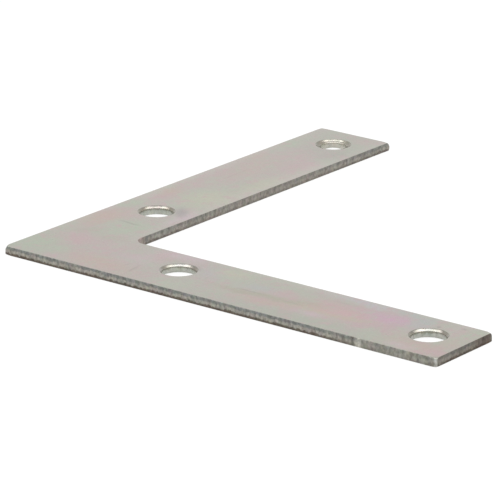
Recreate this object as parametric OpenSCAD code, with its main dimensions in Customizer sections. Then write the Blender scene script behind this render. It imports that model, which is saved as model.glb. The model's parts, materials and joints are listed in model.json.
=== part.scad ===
// Flat corner brace: an L-shaped plate blanked from steel strip, with two
// countersunk screw holes in each leg. The front face is +Z and the back
// face lies on Z = 0. The origin is where the two rows of holes cross, and
// the legs run along +X and +Y.

/* [Plate] */
// Length of each leg, from the outer corner to its end
leg_length = 101.6; // [60:0.1:160]
// Width of each leg
leg_width = 17.6; // [14:0.1:26]
// Thickness of the plate
thickness = 1.75; // [1.5:0.05:3]

/* [Edges] */
// Radius of the outer corner, seen from above
outer_corner_r = 0.4; // [0.4:0.1:6]
// Radius of the fillet in the inner corner, seen from above
inner_corner_r = 2.5; // [0.5:0.1:6]
// Radius of the corners at the ends of the legs, seen from above
end_corner_r = 0.3; // [0.3:0.05:4]
// Radius rolled onto the front edges as the plate is blanked
edge_roll = 0.2; // [0.1:0.05:0.25]

/* [Screw holes] */
// Distance from each leg's outer edge to its row of holes
hole_row_inset = 9.25; // [8:0.05:11]
// Distance from the outer corner to the first hole of each leg, along the leg
first_hole = 35; // [30:0.1:45]
// Distance from the end of each leg to its last hole
end_margin = 8.2; // [7:0.1:12]
// How far the X leg's first hole strayed in punching, along the leg
stray_along = 0.35; // [-0.5:0.05:0.5]
// How far it strayed across the leg, towards the inner edge
stray_across = 0.4; // [-0.5:0.05:0.5]
// Diameter of the countersink at the front face
sink_d = 7.3; // [7:0.1:9]
// Depth of the countersink
sink_depth = 0.4; // [0.2:0.05:0.6]
// Diameter of the punched bores
bore_d = 6.5; // [5:0.1:6.8]
// Diameter of the bore at the end of the Y leg, which is punched tighter
tight_bore_d = 5.4; // [4:0.1:6.8]
// Growth in diameter where the punch breaks out behind the X leg's holes
x_leg_breakout = 0.9; // [0.1:0.05:1.2]
// Growth in diameter where the punch breaks out behind the Y leg's holes
y_leg_breakout = 0.4; // [0.1:0.05:1.2]
// Height of the broken-out part of each bore
breakout_h = 0.6; // [0.2:0.05:0.7]

/* [Hidden] */
$fn = 96;
// How far the cutting shapes run past the surfaces that they cut
past = 1;
// Where the holes lie along a leg, measured from the crossing of the two rows
near_hole = first_hole - hole_row_inset;
far_hole = leg_length - end_margin - hole_row_inset;
// Each screw hole: place, diameter of its bore, and growth of that at the back
HOLES = [
    [[near_hole + stray_along, stray_across], bore_d, x_leg_breakout],
    [[far_hole, 0], bore_d, x_leg_breakout],
    [[0, near_hole], bore_d, y_leg_breakout],
    [[0, far_hole], tight_bore_d, y_leg_breakout],
];
// Each corner of the outline: place, radius, and heading of the edge after it.
// They run anticlockwise from the outer corner, so the metal is on the left.
OUTLINE = [
    [[0, 0], outer_corner_r, 0],
    [[leg_length, 0], end_corner_r, 90],
    [[leg_length, leg_width], end_corner_r, 180],
    [[leg_width, leg_width], inner_corner_r, 90],
    [[leg_width, leg_length], end_corner_r, 180],
    [[0, leg_length], end_corner_r, 270],
];
INNER_CORNER = 3;

// What a corner of radius r leaves of the square that it sits in
module corner_waste(r) {
    difference() {
        translate([-past, -past])
            square(r + past);
        translate([r, r])
            circle(r);
    }
}

// The flat L with its corners rounded
module plate_outline() {
    difference() {
        union() {
            square([leg_length, leg_width]);
            square([leg_width, leg_length]);
            translate([leg_width, leg_width])
                difference() {
                    square(inner_corner_r);
                    translate([inner_corner_r, inner_corner_r])
                        circle(inner_corner_r);
                }
        }
        for (i = [0 : len(OUTLINE) - 1])
            if (i != INNER_CORNER)
                translate(OUTLINE[i][0])
                    rotate(OUTLINE[i][2])
                        corner_waste(OUTLINE[i][1]);
    }
}

// Section of what the rolled edge removes: X runs into the metal from its
// side face, Y up from its front face
module roll_section() {
    difference() {
        translate([-past, -edge_roll])
            square(edge_roll + past);
        translate([edge_roll, -edge_roll])
            circle(edge_roll);
    }
}

// Rolled edge along the straight stretch from outline corner i to the next
module straight_roll(i) {
    next = OUTLINE[(i + 1) % len(OUTLINE)];
    start_r = OUTLINE[i][1];
    run = norm(next[0] - OUTLINE[i][0]) - start_r - next[1];
    translate(concat(OUTLINE[i][0], thickness))
        rotate(OUTLINE[i][2])
            translate([start_r, 0, 0])
                rotate([90, 0, 90])
                    linear_extrude(run)
                        roll_section();
}

// Rolled edge round outline corner i, which turns left
module outer_roll(i) {
    r = OUTLINE[i][1];
    translate(concat(OUTLINE[i][0], thickness))
        rotate(OUTLINE[i][2])
            translate([r, r, 0])
                rotate(180)
                    rotate_extrude(angle = 90)
                        translate([r, 0])
                            mirror([1, 0])
                                roll_section();
}

// Rolled edge round the inner corner, which turns right
module inner_roll() {
    r = inner_corner_r;
    translate([leg_width + r, leg_width + r, thickness])
        rotate(180)
            rotate_extrude(angle = 90)
                translate([r, 0])
                    roll_section();
}

// One screw hole, cut from the front face down to the back face
module screw_hole(d, growth) {
    sink_slope = (sink_d - d) / 2 / sink_depth;
    breakout_slope = growth / 2 / breakout_h;
    translate([0, 0, -past])
        cylinder(d = d, h = thickness + 2 * past);
    translate([0, 0, thickness - sink_depth])
        cylinder(d1 = d, d2 = sink_d + 2 * sink_slope * past, h = sink_depth + past);
    translate([0, 0, -past])
        cylinder(d1 = d + growth + 2 * breakout_slope * past, d2 = d, h = breakout_h + past);
}

module corner_plate() {
    color([0.72, 0.71, 0.68])
        difference() {
            translate([-hole_row_inset, -hole_row_inset, 0])
                difference() {
                    linear_extrude(thickness)
                        plate_outline();
                    for (i = [0 : len(OUTLINE) - 1]) {
                        straight_roll(i);
                        if (i != INNER_CORNER)
                            outer_roll(i);
                    }
                    inner_roll();
                }
            for (hole = HOLES)
                translate(hole[0])
                    screw_hole(hole[1], hole[2]);
        }
}

corner_plate();
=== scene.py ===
# Looks of the flat corner brace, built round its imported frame.
import json
import math

import bmesh
import bpy
from mathutils import Matrix, Vector, noise
from mathutils.geometry import delaunay_2d_cdt


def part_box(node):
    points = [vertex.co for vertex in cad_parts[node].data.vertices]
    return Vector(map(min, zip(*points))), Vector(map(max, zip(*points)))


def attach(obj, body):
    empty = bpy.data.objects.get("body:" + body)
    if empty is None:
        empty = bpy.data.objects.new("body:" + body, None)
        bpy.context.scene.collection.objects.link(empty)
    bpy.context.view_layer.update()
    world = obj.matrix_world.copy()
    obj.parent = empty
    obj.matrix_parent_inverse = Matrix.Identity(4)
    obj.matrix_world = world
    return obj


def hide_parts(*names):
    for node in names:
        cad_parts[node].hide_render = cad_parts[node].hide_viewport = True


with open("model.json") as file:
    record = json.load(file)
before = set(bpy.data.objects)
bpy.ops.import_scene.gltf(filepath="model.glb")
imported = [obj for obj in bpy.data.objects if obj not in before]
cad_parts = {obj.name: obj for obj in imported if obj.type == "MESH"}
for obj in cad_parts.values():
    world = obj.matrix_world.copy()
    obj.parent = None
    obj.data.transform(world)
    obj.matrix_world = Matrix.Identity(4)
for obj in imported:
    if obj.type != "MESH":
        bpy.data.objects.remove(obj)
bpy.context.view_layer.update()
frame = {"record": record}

# Sizes, in metres. The legs run along +X and +Y, and the origin is where the
# two rows of holes cross, on the back face.
MM = 0.001
LOW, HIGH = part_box("corner_plate")
THICKNESS = HIGH.z
OUTER = LOW.x
LEG_END = HIGH.x
LEG_WIDTH = 17.6 * MM
INNER = OUTER + LEG_WIDTH

# Corner radii of the L, seen from above. A ring that is drawn in keeps at least
# the last of them.
OUTER_CORNER_R = 0.5 * MM
INNER_CORNER_R = 2.5 * MM
END_CORNER_R = 0.2 * MM
WORN_CORNER_R = 0.4 * MM
SHARPEST_R = 0.03 * MM

# How far a fully worn corner droops at the front, rises at the back and tucks in
# at the front, and how far round it that reaches
CORNER_DROOP = 0.18 * MM
CORNER_RISE = 0.15 * MM
CORNER_TUCK = 0.3 * MM
CORNER_REACH = 0.8 * MM

# The burr that the shears left on the inner corner of the Y leg's end
BURR = 0.35 * MM
BURR_REACH = Vector((0.8, 1.2)) * MM

# The sides: a rolled front edge, a smooth band below it, and a torn band down to
# the broken lower edge, with streaks of two sizes torn up its height
EDGE_ROLL = 0.13 * MM
ROLL_STEPS = 6
SMOOTH_BAND = 0.5 * MM
WALL_STEPS = 9
TEAR_DEPTH = 0.05 * MM
STREAK_SIZE = 0.5 * MM
FINE_STREAK_SIZE = 0.25 * MM
STREAK_SQUASH = 0.4
LOWER_BREAK = 0.04 * MM

# Countersinks: radius and depth, how far they fall at 45 degrees before they
# flatten, the softened rim round them, and the softened turn into the bore
SINK_R = 3.65 * MM
SINK_DEPTH = 0.4 * MM
SINK_FALL = 0.34 * MM
RIM_BREAK = 0.12 * MM
SINK_SOFTENING = 0.03 * MM

# Where the punch broke out at the back: height, the growth in radius of each
# bore with how far it leans to one side, the heading of that side, and how
# narrowly the lean keeps to it
BREAKOUT_H = 0.6 * MM
BREAKOUT_GROWTH = {
    "x_leg_near_hole": (0.45 * MM, 0.1 * MM),
    "x_leg_end_hole": (0.4 * MM, 0.1 * MM),
    "y_leg_near_hole": (0.15 * MM, 0.05 * MM),
    "y_leg_end_hole": (0.0, 0.65 * MM),
}
LEAN_HEADING = 128
LEAN_FOCUS = 6
# Streaks in the punched bores: their size and depth
PUNCHED_STREAK = 0.45 * MM
PUNCHED_ROUGHNESS = 0.05 * MM

# Spacing of the mesh round the outline, its corners and the holes, and on the
# faces; the width of the narrow rings that keep the edges crisp; and how near
# two points have to be to count as one
OUTLINE_STEP = 0.3 * MM
CORNER_STEPS = 12
HOLE_SIDES = 128
FACE_STEP = 1.3 * MM
SUPPORT = 0.08 * MM
MERGE_DISTANCE = 1e-9

# The floor: size, how far it lies below the object, its own shade, and the share
# of white that the camera and reflections see in its place
FLOOR_SIZE = 8
FLOOR_DROP = 0.02 * MM
FLOOR_SHADE = 0.94
FLOOR_GLOW = 0.85

# Strength of the surround at the horizon and overhead
SURROUND_LEVELS = (1.01, 0.75)
# Lamps one metre off: name, bearing from the camera and height in degrees, size
# in metres, and power in watts
LAMPS = [
    ("strip", 0, 68, (1.4, 0.5), 5.6),
    ("left_softbox", -86, 53, (0.55, 0.55), 2.2),
    ("right_softbox", 86, 53, (0.55, 0.55), 2.2),
]

# Camera, fitted to the straight edges in the photograph
CAM_AZIMUTH = math.radians(37.826)
CAM_ELEVATION = math.radians(18.431)
CAM_ROLL = math.radians(0.241)
CAM_TARGET = Vector((29.30, 18.16, 1.75)) * MM
CAM_DISTANCE = 733.9 * MM
SENSOR_MM = 36.0
FOCAL_PIXELS = 3828.75
FRAME_PIXELS = 500
LENS_MM = FOCAL_PIXELS / FRAME_PIXELS * SENSOR_MM

# Finishes of the faces, in the order of the plate's material slots
FACE, SHEARED, COINED, PUNCHED, BACK = range(5)
# Half height in millimetres of the tints and marks, so that they go right through
THROUGH_MM = 60


def heading_vector(degrees):
    """Unit vector along a heading, counted anticlockwise from +X."""
    a = math.radians(degrees)
    return Vector((math.cos(a), math.sin(a)))


def corner_list():
    """Each corner of the L: place, radius, headings before and after it, and share of wear."""
    return [
        (Vector((OUTER, OUTER)), OUTER_CORNER_R, -90, 0, 1.0),
        (Vector((LEG_END, OUTER)), WORN_CORNER_R, 0, 90, 0.5),
        (Vector((LEG_END, INNER)), END_CORNER_R, 90, 180, 0.6),
        (Vector((INNER, INNER)), INNER_CORNER_R, 180, 90, 0.0),
        (Vector((INNER, LEG_END)), END_CORNER_R, 90, 180, 0.35),
        (Vector((OUTER, LEG_END)), END_CORNER_R, 180, 270, 0.2),
    ]


def outline(inset):
    """Points of the L drawn in by an inset, with outward normals, anticlockwise."""
    arcs = []
    for place, r, before, after, _ in corner_list():
        side = 1 if after > before else -1
        r = max(r - side * inset, SHARPEST_R)
        place = place + inset * (heading_vector(before + 90) + heading_vector(after + 90))
        centre = place + r * (heading_vector(after) - heading_vector(before))
        turns = [before - 90 + (after - before) * k / CORNER_STEPS for k in range(CORNER_STEPS + 1)]
        normals = [heading_vector(turn) for turn in turns]
        arcs.append([(centre + side * r * n, n) for n in normals])
    loop = []
    for i, arc in enumerate(arcs):
        ahead = (i + 1) % len(arcs)
        start, n = arc[-1]
        end = arcs[ahead][0][0]
        steps = round((corner_list()[ahead][0] - corner_list()[i][0]).length / OUTLINE_STEP)
        loop += arc + [(start.lerp(end, k / steps), n) for k in range(1, steps)]
    return loop


def inside_plate(p):
    """How far a point is from the outline, counted positive on the metal."""
    edge = min(p.x - OUTER, p.y - OUTER, LEG_END - p.x, LEG_END - p.y)
    centre = INNER + INNER_CORNER_R
    notch = math.hypot(max(centre - p.x, 0), max(centre - p.y, 0)) - INNER_CORNER_R
    return min(edge, notch)


def mottle(x, y, z, size, seed):
    """Smooth noise from -1 to 1 with features of about that size."""
    return noise.noise(Vector((x / size, y / size, z / size + seed)))


class Sheet:
    """Vertices and faces of the plate as they are laid down, with the finish of each face."""

    def __init__(self):
        self.verts = []
        self.faces = []
        self.finishes = []

    def ring(self, points):
        """Adds points and returns their numbers."""
        start = len(self.verts)
        self.verts.extend(points)
        return list(range(start, len(self.verts)))

    def bridge(self, upper, lower, finish):
        """Joins two closed rings of the same length with quads."""
        n = len(upper)
        for i in range(n):
            j = (i + 1) % n
            self.faces.append((upper[i], upper[j], lower[j], lower[i]))
            self.finishes.append(finish)

    def fill(self, rings, clearance, height, finish):
        """Fills the flat face inside the first ring and outside the others, over a staggered grid."""
        numbers = [v for ring in rings for v in ring]
        flat = [Vector(self.verts[v][:2]) for v in numbers]
        regions = []
        for ring in rings:
            start = sum(len(region) for region in regions)
            regions.append(list(range(start, start + len(ring))))
        rows = int((LEG_END - OUTER) / FACE_STEP) + 1
        grid = [
            Vector((OUTER + (i + 0.5 * (j % 2)) * FACE_STEP, OUTER + j * FACE_STEP))
            for j in range(rows)
            for i in range(rows)
        ]
        grid = [p for p in grid if clearance(p) > 0.5 * FACE_STEP]
        numbers += self.ring([Vector((p.x, p.y, height)) for p in grid])
        cut = delaunay_2d_cdt(flat + grid, [], regions, 0, MERGE_DISTANCE)
        _, _, faces, origins, _, owners = cut
        metal = [face for face, owner in zip(faces, owners) if owner == [0]]
        self.faces += [tuple(numbers[origins[v][0]] for v in face) for face in metal]
        self.finishes += [finish] * len(metal)


def lay_edge(sheet):
    """Lays rings down the outer edge of the plate and returns the first and last."""

    def ring(inset, z, tear=0.0):
        points = []
        for p, n in outline(inset):
            streak = mottle(p.x, p.y, z * STREAK_SQUASH, STREAK_SIZE, 3)
            streak += 0.6 * mottle(p.x, p.y, z, FINE_STREAK_SIZE, 8)
            p = p - n * max(0, tear * TEAR_DEPTH * (0.5 + 0.45 * streak))
            points.append(Vector((p.x, p.y, z)))
        return sheet.ring(points)

    first = ring(EDGE_ROLL + SUPPORT, THICKNESS)
    upper = first
    for k in range(ROLL_STEPS + 1):
        a = math.radians(90) * k / ROLL_STEPS
        lower = ring(EDGE_ROLL * (1 - math.sin(a)), THICKNESS - EDGE_ROLL * (1 - math.cos(a)))
        sheet.bridge(upper, lower, FACE if k <= 1 else SHEARED)
        upper = lower
    top = THICKNESS - EDGE_ROLL
    for k in range(1, WALL_STEPS + 1):
        z = top + (LOWER_BREAK - top) * k / WALL_STEPS
        tear = min(1, max(0, (THICKNESS - z - SMOOTH_BAND) / (0.5 * SMOOTH_BAND)))
        lower = ring(0, z, tear)
        sheet.bridge(upper, lower, SHEARED)
        upper = lower
    lower = ring(LOWER_BREAK + TEAR_DEPTH, 0)
    sheet.bridge(upper, lower, SHEARED)
    last = ring(LOWER_BREAK + TEAR_DEPTH + SUPPORT, 0)
    sheet.bridge(lower, last, BACK)
    return first, last


def lay_hole(sheet, centre, bore_r, growth, lean):
    """Lays rings down one screw hole and returns the first and last."""

    def ring(r, z, rough, share):
        points = []
        for i in range(HOLE_SIDES):
            n = heading_vector(360 * i / HOLE_SIDES)
            side = max(0, n.dot(heading_vector(LEAN_HEADING)))
            wall = centre + n * (r + lean * share * side**LEAN_FOCUS)
            streak = mottle(wall.x, wall.y, z * STREAK_SQUASH, PUNCHED_STREAK, 5)
            wall += n * rough * (0.5 + streak)
            points.append(Vector((wall.x, wall.y, z)))
        return sheet.ring(points)

    waist_z = THICKNESS - SINK_DEPTH
    foot_r = bore_r + growth
    first = ring(SINK_R + RIM_BREAK + SUPPORT, THICKNESS, 0, 0)
    # Radius, height and roughness of each ring, and the finish of the faces above it
    rows = [
        (SINK_R + RIM_BREAK, THICKNESS, 0, FACE),
        (SINK_R + RIM_BREAK * 0.3, THICKNESS - RIM_BREAK * 0.15, 0, COINED),
        (SINK_R - RIM_BREAK * 0.3, THICKNESS - RIM_BREAK * 0.6, 0, COINED),
        (SINK_R - SINK_FALL * 0.8, THICKNESS - SINK_FALL * 0.8, 0, COINED),
        (SINK_R - SINK_FALL, THICKNESS - SINK_FALL, 0, COINED),
        (bore_r + SINK_SOFTENING, waist_z + SINK_SOFTENING, 0, COINED),
        (bore_r, waist_z - 2 * SINK_SOFTENING, 0, COINED),
        (bore_r, BREAKOUT_H, PUNCHED_ROUGHNESS * 0.2, PUNCHED),
        (bore_r + growth * 0.35, BREAKOUT_H * 0.65, PUNCHED_ROUGHNESS, PUNCHED),
        (bore_r + growth * 0.7, BREAKOUT_H * 0.3, PUNCHED_ROUGHNESS, PUNCHED),
        (foot_r, LOWER_BREAK * 0.5, PUNCHED_ROUGHNESS * 0.6, PUNCHED),
        (foot_r + LOWER_BREAK, 0, 0, PUNCHED),
        (foot_r + LOWER_BREAK + SUPPORT, 0, 0, BACK),
    ]
    upper = first
    for r, z, rough, finish in rows:
        share = min(1, max(0, 1.2 * (BREAKOUT_H - z) / BREAKOUT_H))
        lower = ring(r, z, rough, share)
        sheet.bridge(upper, lower, finish)
        upper = lower
    return first, upper


def settled(p):
    """Where a point goes once the corners have worn and the Y leg's end has burred."""
    level = p.z / THICKNESS
    shift = Vector((0, 0, 0))
    for place, _, before, after, wear in corner_list():
        near = (Vector((p.x, p.y)) - place).length
        share = wear * math.exp(-((near / CORNER_REACH) ** 2))
        inward = heading_vector(before + 90) + heading_vector(after + 90)
        shift += share * CORNER_TUCK * max(0, 2 * level - 1) ** 2 * inward.to_3d()
        shift.z -= share * (CORNER_DROOP * level - CORNER_RISE * (1 - level))
    along = (LEG_END - p.y) / BURR_REACH.y
    across = (INNER - p.x) / BURR_REACH.x
    belly = math.sin(math.pi * min(1, level * 0.9 + 0.1))
    burr = BURR * math.exp(-along * along - across * across) * belly
    return p + shift + Vector((burr, 0, 0))


def build_plate():
    """The whole plate as one closed mesh."""
    sheet = Sheet()
    bores = [m for m in frame["record"]["mounts"] if m["kind"] == "bore"]
    holes = [
        (Vector(m["pos_m"][:2]), m["dims"]["r_mm"] * MM, *BREAKOUT_GROWTH[m["name"]]) for m in bores
    ]
    laid = [lay_edge(sheet)] + [lay_hole(sheet, *hole) for hole in holes]

    def clear_of_holes(p):
        return min([inside_plate(p)] + [(p - c).length - SINK_R - RIM_BREAK for c, *_ in holes])

    sheet.fill([first for first, _ in laid], clear_of_holes, THICKNESS, FACE)
    sheet.fill([last for _, last in laid], clear_of_holes, 0.0, BACK)
    mesh = bpy.data.meshes.new("brace_plate")
    mesh.from_pydata([settled(p) for p in sheet.verts], [], sheet.faces)
    mesh.polygons.foreach_set("material_index", sheet.finishes)
    mesh.polygons.foreach_set("use_smooth", [True] * len(mesh.polygons))
    shape = bmesh.new()
    shape.from_mesh(mesh)
    bmesh.ops.recalc_face_normals(shape, faces=shape.faces)
    shape.to_mesh(mesh)
    shape.free()
    plate = bpy.data.objects.new("brace_plate", mesh)
    bpy.context.scene.collection.objects.link(plate)
    return plate


def tone(red, green, blue):
    """A colour given in 0 to 255 screen steps, as the linear colour that shaders use."""
    linear = []
    for step in (red, green, blue):
        v = step / 255
        linear.append(v / 12.92 if v <= 0.04045 else ((v + 0.055) / 1.055) ** 2.4)
    return (*linear, 1.0)


def node(tree, kind, inputs=None, out=0, **settings):
    """Adds one node, sets it up, wires or sets its inputs and returns an output."""
    made = tree.nodes.new(kind)
    for name, value in settings.items():
        setattr(made, name, value)
    for key, value in (inputs or {}).items():
        if isinstance(value, bpy.types.NodeSocket):
            tree.links.new(value, made.inputs[key])
        else:
            made.inputs[key].default_value = value
    return made.outputs[out]


def calc(tree, operation, a, b, clamp=False):
    """One sum on two numbers."""
    return node(tree, "ShaderNodeMath", {0: a, 1: b}, operation=operation, use_clamp=clamp)


def spread(tree, value, low, high, to_low, to_high):
    """Maps a number from one range to another with soft ends."""
    inputs = {"Value": value, "From Min": low, "From Max": high, "To Min": to_low, "To Max": to_high}
    return node(tree, "ShaderNodeMapRange", inputs, interpolation_type="SMOOTHSTEP")


def blend_colour(tree, factor, a, b, mode="MIX"):
    """Mixes two colours."""
    inputs = {0: factor, 6: a, 7: b}
    return node(tree, "ShaderNodeMix", inputs, out=2, data_type="RGBA", blend_type=mode)


def grain(tree, coords, scale, detail=3.0, rough=0.5, out=0, squash=None):
    """Noise with that many features to the millimetre, stretched by squash."""
    if squash:
        coords = node(tree, "ShaderNodeMapping", {"Vector": coords, "Scale": squash})
    inputs = {"Vector": coords, "Scale": scale, "Detail": detail, "Roughness": rough}
    return node(tree, "ShaderNodeTexNoise", inputs, out=out)


def millimetres(tree):
    """Places on the object, in millimetres."""
    place = node(tree, "ShaderNodeTexCoord", out=3)
    return node(tree, "ShaderNodeVectorMath", {0: place, 3: 1 / MM}, operation="SCALE")


def warped(tree, coords, scale, reach):
    """The same places, pushed about by up to half of reach."""
    push = grain(tree, coords, scale, out=1)
    push = node(tree, "ShaderNodeVectorMath", {0: push, 1: (0.5, 0.5, 0.5)}, operation="SUBTRACT")
    push = node(tree, "ShaderNodeVectorMath", {0: push, 3: reach}, operation="SCALE")
    return node(tree, "ShaderNodeVectorMath", {0: coords, 1: push}, operation="ADD")


def patch(tree, coords, place, half, angle, strength):
    """A soft oval mask, strongest at its middle, and the same all through the plate."""
    inputs = {
        "Vector": coords,
        "Location": (*place, 0),
        "Rotation": (0, 0, math.radians(angle)),
        "Scale": (*half, THROUGH_MM),
    }
    coords = node(tree, "ShaderNodeMapping", inputs, vector_type="TEXTURE")
    ball = node(tree, "ShaderNodeTexGradient", {"Vector": coords}, out=1, gradient_type="SPHERICAL")
    return spread(tree, ball, 0.0, 1.0, 0.0, strength)


# Colours of the zinc and of its film, and at the end those of the scuffs
GREEN = tone(181, 184, 170)
SAGE = tone(175, 178, 165)
OLIVE = tone(176, 172, 156)
PALE = tone(186, 177, 172)
LIGHT = tone(198, 193, 185)
BLUE = tone(178, 183, 180)
VIOLET = tone(186, 177, 180)
MAGENTA = tone(196, 170, 182)
RED = tone(194, 170, 171)
ORANGE = tone(192, 173, 163)
YELLOW = tone(190, 180, 161)
VIVID = tone(176, 187, 167)
LEAF = tone(191, 192, 170)
PINK = tone(201, 182, 188)
LILAC = tone(190, 186, 190)
DULL = tone(170, 169, 160)
ROSE = tone(204, 168, 172)
FUCHSIA = tone(201, 163, 184)
SCRUFF = tone(158, 153, 146)
SHADE = tone(160, 151, 154)

# Tints of the passivation film on the front: colour, place, half sizes,
# angle and strength, in millimetres and degrees
TINTS = [
    (PALE, (8, 0), (28, 15), 0, 0.9),
    (PALE, (0, 8), (15, 12), 0, 0.6),
    (SAGE, (-7, -4), (14, 11), 0, 1.0),
    (GREEN, (-8, 6), (6, 6), 0, 0.8),
    (OLIVE, (4, 7.5), (7, 3.5), 0, 0.5),
    (RED, (-1.5, 2.5), (7, 7), 0, 0.9),
    (RED, (8, 3), (9, 5), 0, 0.5),
    (ORANGE, (12, -5.5), (14, 6), -5, 0.9),
    (RED, (19.5, 4.5), (5, 5), 0, 0.7),
    (GREEN, (29, -5.5), (8, 5), 0, 1.0),
    (VIOLET, (32, 3), (6, 6), 0, 0.8),
    (GREEN, (43, 5), (18, 7), 0, 0.9),
    (SAGE, (58, -7.5), (34, 4.5), 0, 0.9),
    (LIGHT, (60, 9), (50, 4), 0, 0.6),
    (RED, (50, -2), (18, 6.5), 4, 0.6),
    (RED, (67, 0.5), (20, 8.5), 6, 0.95),
    (RED, (50, 2), (5, 3), 10, 0.6),
    (ORANGE, (50, -4), (11, 3), 2, 0.8),
    (ORANGE, (63, 1.5), (12, 4), 8, 0.8),
    (OLIVE, (49, -1.6), (19, 2.0), 3, 1.0),
    (OLIVE, (46, -1.6), (12, 1.6), 3, 1.0),
    (YELLOW, (62, -1.2), (14, 3), 2, 1.0),
    (MAGENTA, (71.5, 1.8), (14, 6), 8, 1.0),
    (YELLOW, (68, -1.3), (8, 2.5), 5, 0.8),
    (RED, (74, -2), (9, 3), 0, 0.6),
    (BLUE, (80, 4.5), (4, 6), 0, 0.9),
    (ORANGE, (86, -6), (12, 5.5), 0, 0.9),
    (RED, (90, -7), (6, 4), 0, 0.6),
    (OLIVE, (90, 4), (4, 6), 0, 0.6),
    (ORANGE, (90, -1), (4, 5), 0, 0.4),
    (LIGHT, (89, 5), (5, 6), 0, 0.5),
    (GREEN, (73, 7.5), (7, 3), 0, 0.8),
    (ORANGE, (-5.5, 17), (5.5, 11), 0, 1.0),
    (OLIVE, (-1, 9.5), (3, 9), -50, 0.6),
    (GREEN, (1.5, 13), (7, 10), 0, 1.0),
    (PALE, (4, 20.5), (6, 6), 0, 0.8),
    (GREEN, (0, 40), (10, 19), 0, 1.0),
    (RED, (-5.5, 33), (5, 6), 0, 0.9),
    (ORANGE, (-6, 37.5), (4, 5), 0, 0.9),
    (OLIVE, (4.5, 50), (5, 9), 0, 0.6),
    (PALE, (-2, 64), (13, 27), 0, 1.0),
    (RED, (-5, 45), (6, 7), 0, 0.6),
    (GREEN, (2.5, 48), (5, 7), 0, 0.7),
    (ORANGE, (-3, 60), (7, 16), 0, 0.5),
    (ORANGE, (-7.5, 67.5), (3.5, 6), 0, 0.6),
    (RED, (4.2, 66), (5, 8), 0, 0.7),
    (RED, (-1, 73), (6, 6), 0, 0.5),
    (SAGE, (1, 87), (14, 12), 0, 0.9),
    (RED, (4.5, 89.5), (4, 4), 0, 0.6),
    (LIGHT, (8, 50), (5, 60), 0, 0.6),
    (LIGHT, (-9, 50), (3, 60), 0, 0.5),
    (VIVID, (-6, -3), (7, 8), 0, 0.8),
    (VIVID, (1, -4), (4, 4), 0, 0.8),
    (PINK, (22, 7), (9, 3), 0, 0.8),
    (PINK, (16, 1), (6, 8), 0, 0.4),
    (LEAF, (35.5, 5), (6, 4), 0, 0.7),
    (BLUE, (44, 1.2), (6, 3), 3, 0.7),
    (OLIVE, (56, -0.3), (8, 2.5), 4, 0.6),
    (ORANGE, (67, 1.2), (9, 3), 8, 0.7),
    (PINK, (60.5, -4), (5, 2), 3, 0.6),
    (LILAC, (66, 7.2), (14, 2.5), 0, 0.9),
    (BLUE, (76.5, 6.5), (5, 2.5), 0, 0.8),
    (PINK, (83, -7.5), (5, 3), 0, 0.6),
    (VIVID, (90, 5), (4, 4.5), 0, 0.9),
    (VIVID, (3, 15.5), (6, 9), 0, 0.7),
    (PINK, (7, 25.5), (3, 7), 0, 0.9),
    (RED, (-2, 21), (4, 3.5), 0, 0.6),
    (VIVID, (-7.5, 27), (3.5, 5), 0, 0.9),
    (LEAF, (3, 38), (8, 9), 0, 0.8),
    (LEAF, (5.5, 52), (4, 13), 0, 0.6),
    (DULL, (5.5, 78), (4.5, 8), 0, 0.6),
    (DULL, (0, 78), (9, 6), 0, 0.3),
    (VIVID, (-7.5, 79), (3.5, 5), 0, 0.9),
    (ROSE, (64.5, -0.2), (10, 2.4), 8, 0.6),
    (FUCHSIA, (73.5, 2.2), (7, 3.2), 8, 0.6),
]

# Scratches and rubbed spots on the front, in the same form
SCRATCHES = [
    (SCRUFF, (44, -0.9), (5, 0.4), 3, 0.5),
    (SCRUFF, (54, -1.3), (4, 0.3), 4, 0.35),
    (SCRUFF, (0.5, 16.7), (4.5, 0.6), -4, 0.6),
    (SCRUFF, (19, -4.5), (0.5, 3.5), 8, 0.45),
    (SCRUFF, (16.5, -3), (0.4, 2), -12, 0.3),
    (SCRUFF, (83.2, 4.6), (0.8, 0.7), 0, 0.8),
    (SCRUFF, (87.5, 6.4), (1.0, 0.6), 0, 0.6),
    (SHADE, (4.4, 28), (2.2, 5), 38, 0.65),
    (SCRUFF, (28.5, 3.4), (3, 1.0), -30, 0.35),
    (SCRUFF, (62, 4.5), (6, 0.25), 2, 0.25),
    (SCRUFF, (-3, 55), (0.3, 7), 2, 0.25),
]

# Sheared sides: colours of the three bands from the foot up, heights in
# millimetres over which they blend, and marks in the form of the tints, among
# them painted shade in dark brown over the X leg's end face and a painted
# highlight at its near corner
# The dark foot band is partly torn metal and partly painted contact shadow
SHEARED_BANDS = (tone(96, 88, 79), tone(150, 147, 139), tone(124, 125, 121))
SHEARED_HEIGHTS = ((0.35, 0.7), (1.0, 1.3))
SHEARED_MARKS_AND_PAINTED_LIGHT = [
    (tone(138, 136, 128), (84, -9.2), (22, 4), 0, 0.9),
    (tone(136, 131, 124), (8.4, 50), (4, 75), 0, 0.75),
    # Painted shade, dark brown, over the X leg's end face
    (tone(86, 74, 63), (93.5, 0), (2.5, 24), 0, 0.85),
    (tone(174, 172, 163), (75.2, -9.2), (1.1, 3), 0, 1.0),
    (tone(96, 94, 88), (73.9, -9.2), (0.6, 3), 0, 0.8),
    (tone(98, 95, 89), (71.8, -9.2), (0.5, 3), 0, 0.7),
    # More painted shade, dark brown, on the X leg's end face
    (tone(84, 68, 59), (92.6, 6), (2, 5), 0, 0.7),
    # Painted highlight at the near corner of the X leg's end
    (tone(204, 202, 197), (92.5, -9.4), (0.9, 0.9), 0, 1.0),
    (tone(166, 151, 144), (8.5, 10.1), (2.2, 2.7), 0, 0.9),
]
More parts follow.
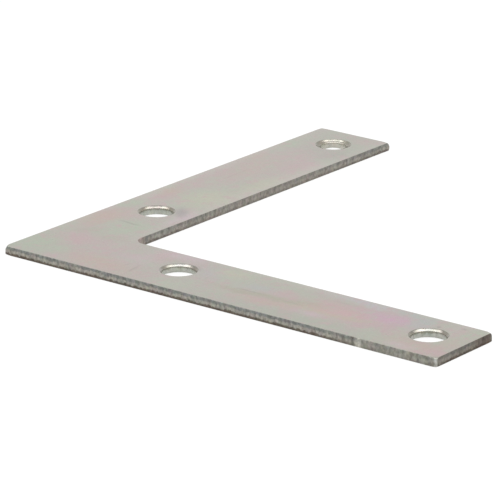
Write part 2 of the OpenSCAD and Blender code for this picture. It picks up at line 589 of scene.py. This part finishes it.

# Countersinks in the same form, with painted highlights on their far walls,
# the brightest and widest on the hole at the end of the Y leg, and a lighter
# spot beside the X leg's near hole
COINED_BANDS = (tone(151, 146, 133), tone(151, 146, 133), tone(152, 148, 137))
COINED_HEIGHTS = ((1.1, 1.4), (1.5, 1.6))
COINED_MARKS_AND_HIGHLIGHTS = [
    # The first four are painted highlights on the far walls of the countersinks
    (tone(162, 160, 155), (23.9, 3.3), (5, 3), 38, 1.0),
    (tone(160, 158, 153), (81.95, 2.9), (5, 3), 38, 1.0),
    (tone(168, 163, 155), (-2.2, 28.65), (5, 3), 38, 1.0),
    (tone(213, 209, 197), (-0.9, 85.7), (3.5, 6), 38, 1.0),
    (tone(168, 164, 160), (23.5, -1.6), (2.2, 2.2), 0, 0.9),
]

# Bores in the same form; their upper band, darker below the countersink, is painted shade
PUNCHED_BANDS = (tone(176, 178, 169), tone(150, 149, 137), tone(150, 149, 137))
PUNCHED_HEIGHTS = ((0.9, 1.25), (1.3, 1.4))
PUNCHED_MARKS = [(tone(194, 191, 179), (0, 84.15), (7, 7), 0, 1.0)]

# Roughness of the finishes, from and to
COAT_GLOSS = (0.26, 0.36)
COINED_GLOSS = (0.2, 0.32)
TORN_GLOSS = (0.4, 0.6)
# How the tints and the scratches are pushed about: features to the millimetre,
# and reach in millimetres
TINT_WARPS = ((0.15, 3.5), (0.5, 2.2))
SCRATCH_WARP = (0.4, 0.8)
# Clouds of red and green in the film: features to the millimetre, and strength
BLOOMS = ((0.35, 0.7), (0.9, 0.5))


def start_material(name):
    """An empty material with a metal shader: its tree and the shader."""
    material = bpy.data.materials.new(name)
    material.use_nodes = True
    tree = material.node_tree
    shader = tree.nodes["Principled BSDF"]
    shader.inputs["Metallic"].default_value = 1.0
    return material, tree, shader


def coat(name, tints, scratches):
    """Satin zinc under a thin film, with the given tints and scratches in the film."""
    material, tree, shader = start_material(name)
    coords = millimetres(tree)
    base = spread(tree, grain(tree, coords, 0.12), 0.35, 0.65, 0.0, 1.0)
    colour = blend_colour(tree, base, GREEN, PALE)
    soft = coords
    for size, reach in TINT_WARPS:
        soft = warped(tree, soft, size, reach)
    for shade, place, half, angle, strength in tints:
        colour = blend_colour(tree, patch(tree, soft, place, half, angle, strength), colour, shade)
    for size, strength in BLOOMS:
        bloom = grain(tree, soft, size, detail=4.0, rough=0.65)
        colour = blend_colour(tree, spread(tree, bloom, 0.5, 0.72, 0.0, strength), colour, RED)
        colour = blend_colour(tree, spread(tree, bloom, 0.5, 0.28, 0.0, strength), colour, GREEN)
    wavy = warped(tree, coords, *SCRATCH_WARP)
    for shade, place, half, angle, strength in scratches:
        colour = blend_colour(tree, patch(tree, wavy, place, half, angle, strength), colour, shade)
    fleck = grain(tree, coords, 1.6, detail=4.0, rough=0.7, out=1)
    colour = blend_colour(tree, 0.15, colour, fleck, "SOFT_LIGHT")
    fine = grain(tree, coords, 2.5, rough=0.7)
    tree.links.new(colour, shader.inputs["Base Color"])
    tree.links.new(spread(tree, fine, 0.2, 0.8, *COAT_GLOSS), shader.inputs["Roughness"])
    bump = {"Strength": 0.1, "Distance": 0.02 * MM, "Height": fine}
    tree.links.new(node(tree, "ShaderNodeBump", bump), shader.inputs["Normal"])
    return material


def banded(name, bands, heights, marks_and_painted_light, fleck, gloss):
    """Bare metal in three bands up its height, flecked, with the given marks, among them painted
    highlights and shade.
    """
    material, tree, shader = start_material(name)
    coords = millimetres(tree)
    z = node(tree, "ShaderNodeSeparateXYZ", {0: coords}, out=2)
    ragged = grain(tree, coords, 1.4, rough=0.6, squash=(1, 1, 0.4))
    z = calc(tree, "ADD", z, spread(tree, ragged, 0.2, 0.8, -0.25, 0.25))
    colour = blend_colour(tree, spread(tree, z, *heights[0], 0.0, 1.0), bands[0], bands[1])
    colour = blend_colour(tree, spread(tree, z, *heights[1], 0.0, 1.0), colour, bands[2])
    for shade, place, half, angle, strength in marks_and_painted_light:
        colour = blend_colour(tree, patch(tree, coords, place, half, angle, strength), colour, shade)
    speck = grain(tree, coords, 1.5, rough=0.7, squash=(1, 1, 0.6))
    level = spread(tree, speck, 0.25, 0.75, 1 - 0.33 * fleck, 1 + 0.4 * fleck)
    colour = node(tree, "ShaderNodeVectorMath", {0: colour, 3: level}, operation="SCALE")
    cast = grain(tree, coords, 0.9, rough=0.7, out=1)
    colour = blend_colour(tree, 0.2, colour, cast, "SOFT_LIGHT")
    tree.links.new(colour, shader.inputs["Base Color"])
    tree.links.new(spread(tree, ragged, 0.2, 0.8, *gloss), shader.inputs["Roughness"])
    bump = {"Strength": 0.4 * fleck, "Distance": 0.05 * MM, "Height": ragged}
    tree.links.new(node(tree, "ShaderNodeBump", bump), shader.inputs["Normal"])
    return material


def towards(a, e):
    """Unit vector from the object towards an azimuth and elevation in radians."""
    return Vector((math.sin(a) * math.cos(e), -math.cos(a) * math.cos(e), math.sin(e)))


def aim(obj, back, up):
    """Turns an object so that it looks along -back."""
    right = up.cross(back)
    obj.matrix_world = Matrix.Translation(obj.location) @ Matrix((right, up, back)).transposed().to_4x4()


def add_camera():
    """The camera at the photograph's place, level apart from its small roll."""
    back = towards(CAM_AZIMUTH, CAM_ELEVATION)
    right = Vector((math.cos(CAM_AZIMUTH), math.sin(CAM_AZIMUTH), 0))
    up = back.cross(right)
    data = bpy.data.cameras.new("camera")
    data.sensor_width = SENSOR_MM
    data.lens = LENS_MM
    data.clip_start = 0.01
    data.clip_end = 20
    camera = bpy.data.objects.new("camera", data)
    bpy.context.scene.collection.objects.link(camera)
    camera.location = CAM_TARGET + back * CAM_DISTANCE
    aim(camera, back, up * math.cos(CAM_ROLL) - right * math.sin(CAM_ROLL))
    bpy.context.scene.camera = camera


def add_floor():
    """A white floor that keeps a faint shadow of the object."""
    bpy.ops.mesh.primitive_plane_add(size=FLOOR_SIZE, location=(0, 0, -FLOOR_DROP))
    floor = bpy.context.object
    floor.name = "floor"
    material = bpy.data.materials.new("floor")
    material.use_nodes = True
    tree = material.node_tree
    tree.nodes.clear()
    path = tree.nodes.new("ShaderNodeLightPath")
    seen = calc(tree, "ADD", path.outputs["Is Camera Ray"], path.outputs["Is Glossy Ray"])
    seen = calc(tree, "ADD", seen, path.outputs["Is Transmission Ray"], clamp=True)
    matt = node(tree, "ShaderNodeBsdfDiffuse", {"Color": (FLOOR_SHADE, FLOOR_SHADE, FLOOR_SHADE, 1)})
    glow = node(tree, "ShaderNodeEmission", {"Color": (1, 1, 1, 1), "Strength": 1.0})
    share = calc(tree, "MULTIPLY", seen, FLOOR_GLOW)
    mixed = node(tree, "ShaderNodeMixShader", {0: share, 1: matt, 2: glow})
    output = tree.nodes.new("ShaderNodeOutputMaterial")
    tree.links.new(mixed, output.inputs["Surface"])
    floor.data.materials.append(material)


def add_lamp(name, bearing, height, size, watts):
    """A soft lamp one metre off, at a bearing from the camera and a height in degrees."""
    a = CAM_AZIMUTH + math.radians(bearing)
    back = towards(a, math.radians(height))
    data = bpy.data.lights.new(name, "AREA")
    data.shape = "RECTANGLE"
    data.size, data.size_y = size
    data.energy = watts
    lamp = bpy.data.objects.new(name, data)
    bpy.context.scene.collection.objects.link(lamp)
    lamp.location = CAM_TARGET + back
    aim(lamp, back, back.cross(Vector((math.cos(a), math.sin(a), 0))))


def add_light():
    """A bright surround, a strip lamp over the camera and a softbox on each side of it."""
    world = bpy.data.worlds.new("surround")
    bpy.context.scene.world = world
    world.use_nodes = True
    tree = world.node_tree
    place = node(tree, "ShaderNodeTexCoord", out=0)
    height = node(tree, "ShaderNodeSeparateXYZ", {0: place}, out=2)
    level = spread(tree, height, 0.0, 0.95, *SURROUND_LEVELS)
    background = tree.nodes["Background"]
    tree.links.new(level, background.inputs["Strength"])
    background.inputs["Color"].default_value = (1, 1, 1, 1)
    for lamp in LAMPS:
        add_lamp(*lamp)


def main():
    """Builds the plate and its finishes, and the camera, floor and light."""
    plate = build_plate()
    finishes = [
        coat("zinc_front", TINTS, SCRATCHES),
        banded("zinc_sheared", SHEARED_BANDS, SHEARED_HEIGHTS, SHEARED_MARKS_AND_PAINTED_LIGHT, 1.0, TORN_GLOSS),
        banded("zinc_coined", COINED_BANDS, COINED_HEIGHTS, COINED_MARKS_AND_HIGHLIGHTS, 0.3, COINED_GLOSS),
        banded("zinc_punched", PUNCHED_BANDS, PUNCHED_HEIGHTS, PUNCHED_MARKS, 0.4, TORN_GLOSS),
        coat("zinc_back", [], []),
    ]
    for material in finishes:
        plate.data.materials.append(material)
    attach(plate, "root")
    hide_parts("corner_plate")
    add_camera()
    add_floor()
    add_light()
    bpy.context.scene.view_settings.view_transform = "Standard"


main()
